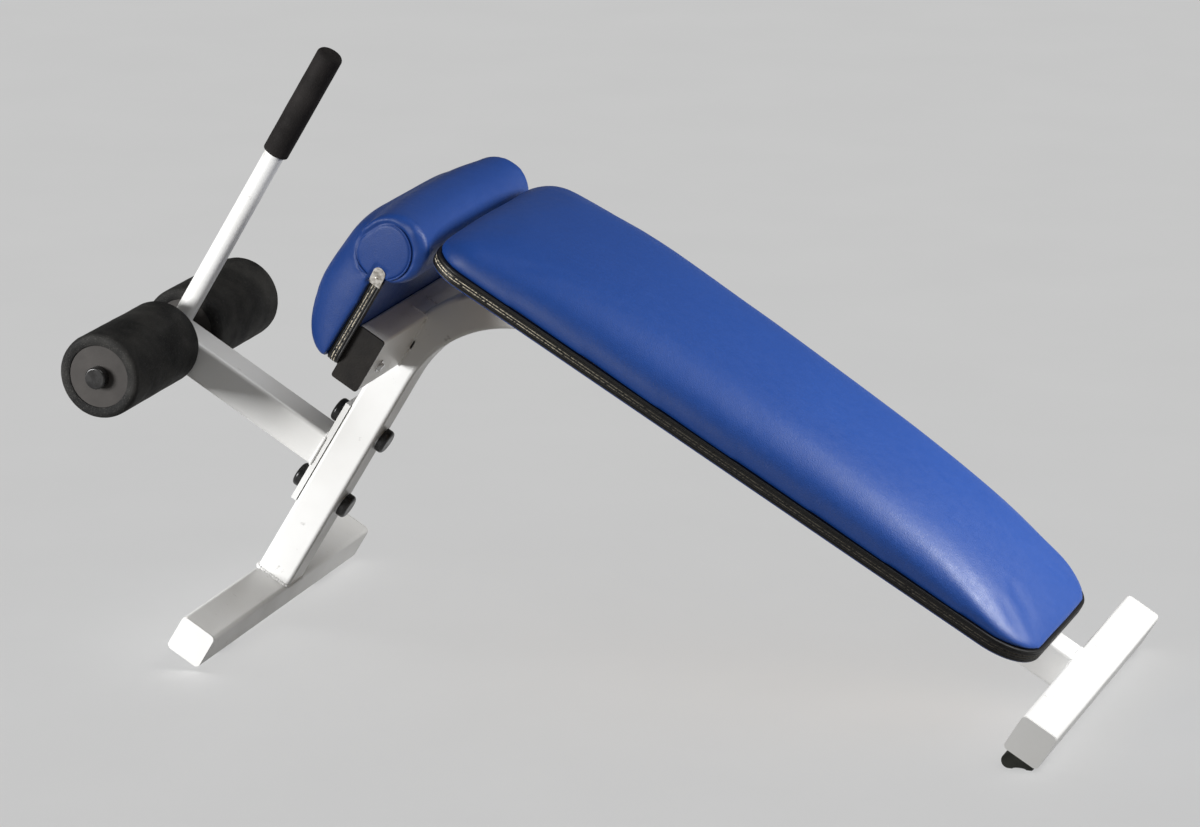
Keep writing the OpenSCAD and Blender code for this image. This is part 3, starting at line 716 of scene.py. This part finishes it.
def sewn_relief(at):
    """How far the sewing of the end panels lifts or sinks each point of the cover."""
    crease_by, ridge_by, gather_by, ear_by, end_band = -4.0, 2.6, 0.4, 2.2, 28
    most_dip = 0.27
    turn, past = round_seam(at)
    end = np.clip((np.abs(at[:, 1]) - (KNEE_HALF - end_band)) / 12, 0, 1)
    sewn = seam_r(turn) / SEAM_R
    crease = crease_by * sewn ** 2 * bell(past, 1.5, 2.6)
    ridge = ridge_by * (1 - sewn) / most_dip * bell(past, 9, 5)
    gathers = gather_by * np.cos(turn * 13 + 1.3 * np.sin(turn * 3)) * bell(past, 7, 5)
    ear = ear_by * bell(turn, 1.1, 0.16) * bell(past, 15, 6)
    return end * (crease + ridge + gathers + ear)


def pressed_by_clips(at):
    """Moves the points under the clips in, so that the clips lie on the cover."""
    half_width, height, edge = 14, 39, 3
    up = at[:, 2] - CLIP_Z
    under = (np.clip((half_width - np.abs(at[:, 0] - CLIP_X)) / edge, 0, 1)
             * np.clip((up + 2) / edge, 0, 1) * np.clip((height - up) / edge, 0, 1))
    proud = np.abs(at[:, 1]) - (KNEE_HALF - KNEE_INSET - 0.3 + up * math.tan(CLIP_LEAN))
    at[:, 1] -= np.sign(at[:, 1]) * np.clip(proud, 0, None) * under


def knee_pad():
    made = remeshed("knee_pad_cover", [knee_front_shell(), knee_roll_shell()], voxel=0.005, smoothing=8)
    at = coords(made.data) * 1000
    seam_band, uneven = 3.0, 1.3
    past = round_seam(at)[1]
    seam = (np.abs(at[:, 1]) > KNEE_HALF - 12) & (np.abs(past) < seam_band)
    board = (at[:, 0] > KNEE_FRONT - 1) & (at[:, 2] < ROLL_Z - 50)
    puffed(made, seam | board, pressure=2.5, cap=0.0022)
    relaxed(made, 2, subdivide=1)
    at = coords(made.data) * 1000
    lift = sewn_relief(at) + lumps(at, (90, 90, 90)) * uneven
    at += normals(made.data) * lift[:, None]
    pressed_by_clips(at)
    finish_cover(made, at, "knee_pad_cushion")


def knee_seams():
    """Piping sewn into the free part of the edge of the roll's round end panels."""
    points, faces = [], []
    turns, ring = 96, 10
    first, swing, clip_at = -150, 255, math.radians(-72)
    thin, thicker = 0.5, 1.2
    for side in (-1, 1):
        start = len(points)
        for i in range(turns + 1):
            a = math.radians(first + swing * i / turns)
            fade = min(1.0, 8 * i / turns, 8 * (1 - i / turns))
            size = thin + thicker * fade
            # it sinks into the cover at its ends and behind the clip
            sunk = 3 * (1 - fade) + 12 * math.exp(-((a - clip_at) / 0.36) ** 4)
            r = float(seam_r(a)) + 0.4 * noise.noise(Vector((math.cos(a) * 2, math.sin(a) * 2, side)))
            for j in range(ring):
                b = 2 * math.pi * j / ring
                out = r + size * math.cos(b)
                points.append((SEAM_X + out * math.cos(a),
                               side * (KNEE_HALF - 0.8 - sunk + size * math.sin(b)),
                               SEAM_Z + out * math.sin(a)))
        faces += moved_on(capped(turns + 1, ring), start)
    piece("knee_pad_piping", points, faces, VINYL)


def knee_outline(step=5.0):
    """The strip's path in (y, z): up one end of the board, round its lower edge, up the other."""
    half, r = KNEE_HALF - KNEE_INSET, KNEE_R
    near = [(-half, STRIP_TOP), (-half, KNEE_Z + r + 1)]
    near += [(-half + r * (1 - math.cos(a)), KNEE_Z + r * (1 - math.sin(a)))
             for a in np.radians(np.linspace(3, 90, 16))]
    near += [(0.0, KNEE_Z)]
    line = np.array(near + [(-y, z) for y, z in near[-2::-1]])
    line = spaced(line, int(steps_of(line).sum() / step))
    along = directions(line, False)
    return line, np.stack([along[:, 1], -along[:, 0]], axis=1)


def knee_trim():
    line, out = knee_outline()
    profile = strip_profile(TRIM_H + TRIM_RIM)
    points = [(KNEE_FRONT + TRIM_GAP + h, y + oy * n, z + oz * n)
              for (y, z), (oy, oz) in zip(line, out) for n, h in profile]
    made = piece("knee_pad_strip", points, capped(len(line), len(profile)), STRIP,
                 replaces=["knee_pad_trim"])
    painted_highlight_grooves(made, len(profile))


# ---------------------------------------------------------------- rollers and grip
def roller(name, side, body):
    """Foam sleeve with soft shoulders, a little uneven, and recessed ends round the discs."""
    shoulder, recess, bore = 9.0, 6, 26.0
    r, mid = ROLLER_D / 2, (ROLLER_IN + ROLLER_OUT) / 2
    half = (ROLLER_OUT - ROLLER_IN) / 2
    outer = []
    for a in np.radians(np.linspace(90, 0, 8)):
        outer.append((r - shoulder + shoulder * math.cos(a), half - shoulder + shoulder * math.sin(a)))
    wall = [(r, d) for d in np.linspace(half - shoulder - 10, 0, 9)]
    mouth = DISC_D / 2
    upper = [(mouth + 0.1, half - recess), (mouth + 0.1, half - 1.2), (mouth + 1.2, half - 0.2)]
    side_a = upper + outer + wall
    profile = side_a + [(p[0], -p[1]) for p in side_a[-2::-1]]
    profile += [(bore, -(half - recess)), (bore, half - recess)]
    centre = Vector((AXLE_X, side * mid, ARM_Z))
    points, faces = lathe(profile, centre, Vector((0, 1, 0)), Vector((1, 0, 0)), 144)
    rough = []
    for p in points:
        away = Vector((p[0] - AXLE_X, 0, p[2] - ARM_Z))
        if away.length > mouth + 4:
            p = p + away.normalized() * (0.5 * noise.noise(p / 34) + 0.22 * noise.noise(p / 6) - 0.1)
        rough.append(p)
    made = piece(name, rough, faces, ROLLER_FOAM, body, [body + "_foam"])


def grip():
    """Foam grip, drawn tight round the handle at its foot and rounded over its top."""
    r, wall, dome, handle_end = GRIP_D / 2, HANDLE_D / 2 - 0.2, 9.5, HANDLE_TOP - GRIP_Z + 0.5
    profile = [(wall, 0.6), (r - 1.6, 0.0), (r - 0.4, 0.6), (r, 2.2)]
    profile += [(r, d) for d in np.linspace(8, GRIP_LEN - 18, 16)]
    profile += [(r - dome + dome * math.cos(a), GRIP_LEN - dome + dome * math.sin(a))
                for a in np.radians(np.linspace(8, 90, 8))]
    profile += [(6.0, GRIP_LEN), (0.01, GRIP_LEN - 0.2), (0.01, handle_end), (wall, handle_end)]
    foot = Vector((AXLE_X, 0, GRIP_Z))
    points, faces = lathe(profile, foot, Vector((0, 0, 1)), Vector((1, 0, 0)), 72)
    rough = []
    for p in points:
        away = Vector((p[0] - AXLE_X, p[1], 0))
        if away.length > wall + 2:
            p = p + away.normalized() * (0.45 * noise.noise(p / 26) - 0.35)
        rough.append(p)
    made = piece("handle_grip_foam", rough, faces, GRIP_FOAM, replaces=["handle_grip"])


# ---------------------------------------------------------------- welds
WELD_STEP, BEAD, FINE_BEAD, THIN_BEAD = 1.1, 3.2, 2.6, 2.4


def weld(name, path, closed, size=BEAD):
    """A rippled bead along a path of points."""
    line = np.array(path + path[:1] if closed else path, float)
    line = spaced(line, int(steps_of(line).sum() / WELD_STEP))
    if closed:
        line = line[:-1]
    points, ring = [], 10
    for k, (p, t) in enumerate(zip(line, directions(line, closed))):
        t = Vector(t)
        side = t.cross(Vector((0.3, 0.52, 0.8))).normalized()
        up = t.cross(side)
        r = size * (1 + 0.13 * math.sin(k * 1.55) + 0.22 * noise.noise(Vector(p) / 9))
        if not closed:
            r *= min(1.0, 0.35 + k / 4, 0.35 + (len(line) - 1 - k) / 4)
        points += [Vector(p) + (side * math.cos(b) + up * math.sin(b)) * r
                   for b in np.linspace(0, 2 * math.pi, ring, endpoint=False)]
    faces = quads(len(line), ring, closed_rows=True) if closed else capped(len(line), ring)
    piece(name, points, faces, PAINT)


def square_loop(half, corner, place):
    """Path round a square tube's end; place turns its two distances into a point."""
    loop = []
    for k, (sx, sy) in enumerate(((1, 1), (-1, 1), (-1, -1), (1, -1))):
        for a in np.radians(np.linspace(90 * k, 90 * k + 90, 5)):
            loop.append(place(sx * (half - corner) + corner * math.cos(a),
                              sy * (half - corner) + corner * math.sin(a)))
    return loop


def on_foot(a, b):
    return a, b, 0.4


def on_beam_end(a, b):
    return PITCH - HALF - 0.4, a, BEAM_TOP - HALF + b


def on_flange(a, b):
    return FLANGE_X - 0.4, a, ARM_Z + b


def welds():
    weld("weld_post_foot", square_loop(HALF, CORNER, on_foot), True)
    weld("weld_beam_foot", square_loop(HALF - 1.2, CORNER, on_beam_end), True, FINE_BEAD)
    weld("weld_arm_flange", square_loop(HALF - 0.5, CORNER, on_flange), True)
    ring = [(AXLE_X + HANDLE_D / 2 * math.cos(a), HANDLE_D / 2 * math.sin(a), ARM_Z + HALF + 0.3)
            for a in np.linspace(0, 2 * math.pi, 40, endpoint=False)]
    weld("weld_handle_arm", ring, True, FINE_BEAD)
    # behind the cross tube the welds leave a gap, at the height of the slot in the near side
    back = CROSS_X + CROSS_D
    ends = (("low", CROSS_Z, 1, VENT[0]), ("top", CROSS_Z + CROSS_H, -1, VENT[1]))
    for side, y in (("near", -HALF), ("far", HALF)):
        for end, edge, inward, stop in ends:
            path = [(-HALF + 1, y, edge + 0.6 * inward), (back - 1, y, edge + 0.6 * inward),
                    (back, y, edge + 3 * inward), (back, y, stop)]
            weld(f"weld_cross_{side}_{end}", path, False, THIN_BEAD)


back_pad()
back_pad_trim()
back_pad_wrap()
knee_pad()
knee_seams()
knee_trim()
roller("near_roller_sleeve", -1, "near_roller")
roller("far_roller_sleeve", 1, "far_roller")
grip()
welds()


# ---------------------------------------------------------------- studio
def studio_floor():
    m = Shader("studio_floor", Specular_IOR_Level=0.1)
    m.colour(m.mix(m.span(m.noise(3.0, 3), 0.3, 0.7), (0.79, 0.79, 0.79), (0.805, 0.805, 0.805)))
    m.rough(m.span(m.noise(40.0, 3), 0.3, 0.7, 0.85, 0.95))
    m.bump(m.noise(300.0, 2), 0.0001)
    side = 60.0
    mesh = bpy.data.meshes.new("floor")
    mesh.from_pydata([(-side, -side, 0), (side, -side, 0), (side, side, 0), (-side, side, 0)], [],
                     [(0, 1, 2, 3)])
    mesh.materials.append(m.material)
    floor = bpy.data.objects.new("floor", mesh)
    scene.collection.objects.link(floor)
    return floor


def light(name, kind, place, target, energy, lit, cast, **values):
    """A lamp that lights one collection of things and takes its shadows from another."""
    data = bpy.data.lights.new(name, kind)
    data.energy = energy
    for key, value in values.items():
        setattr(data, key, value)
    made = bpy.data.objects.new(name, data)
    made.location = place
    made.rotation_euler = (Vector(target) - Vector(place)).to_track_quat("-Z", "Y").to_euler()
    scene.collection.objects.link(made)
    made.light_linking.receiver_collection = lit
    made.light_linking.blocker_collection = cast


def studio():
    # the floor is lit apart, to keep one even pale tone, and so are the covers and all the rest
    bench, covers, tubes, ground = (bpy.data.collections.new(n)
                                    for n in ("bench", "covers", "tubes", "ground"))
    for thing in list(scene.objects):
        if thing.type == "MESH":
            bench.objects.link(thing)
            (covers if thing.data.materials[0] == VINYL else tubes).objects.link(thing)
    floor = studio_floor()
    ground.objects.link(floor)
    floor.visible_diffuse = False
    world = bpy.data.worlds.new("studio")
    world.use_nodes = True
    world.node_tree.nodes["Background"].inputs["Color"].default_value = (1.0, 0.975, 0.935, 1)
    world.node_tree.nodes["Background"].inputs["Strength"].default_value = 0.14
    scene.world = world
    scene.view_settings.view_transform = "Standard"
    light("floor_wash", "SUN", (0, 0, 5), (0, 0, 0), 1.85, ground, ground, angle=math.radians(60),
          color=(0.985, 0.993, 1.0))
    soft = math.radians(35)
    light("tube_key", "SUN", (2.5, -0.6, 5.0), (0, 0, 0), 1.2, tubes, bench, angle=soft)
    light("cover_key", "SUN", (3.5, 0.9, 3.4), (0, 0, 0), 0.8, covers, bench, angle=soft)
    for lit, power in ((covers, 54.0), (tubes, 34.0)):
        light("rear_softbox", "AREA", (1.85, 0.4, 1.3), (0.65, -0.1, 0.2), power, lit, bench, size=0.8)
    light("front_softbox", "AREA", (-2.1, -1.9, 0.85), (-0.5, 0.0, 0.3), 92.0, tubes, bench, size=0.8)
    light("front_fill", "AREA", (-1.6, -3.0, 1.6), (-0.1, 0.0, 0.5), 95.0, covers, bench, size=1.8)


def camera():
    """Stands where the photo was taken from, as worked out from the bench's edges in it."""
    data = bpy.data.cameras.new("camera")
    data.sensor_width, data.lens = 36.0, 146.793
    data.clip_end = 200.0
    made = bpy.data.objects.new("camera", data)
    right = Vector((0.93872, 0.344678, 0.001213))
    up = Vector((-0.093838, 0.252177, 0.963121))
    back = Vector((0.33166, -0.904215, 0.269067))
    made.matrix_world = Matrix.Translation((2.61608, -7.17375, 2.53982)) @ Matrix(
        (right, up, back)).transposed().to_4x4()
    scene.collection.objects.link(made)
    scene.camera = made


studio()
camera()
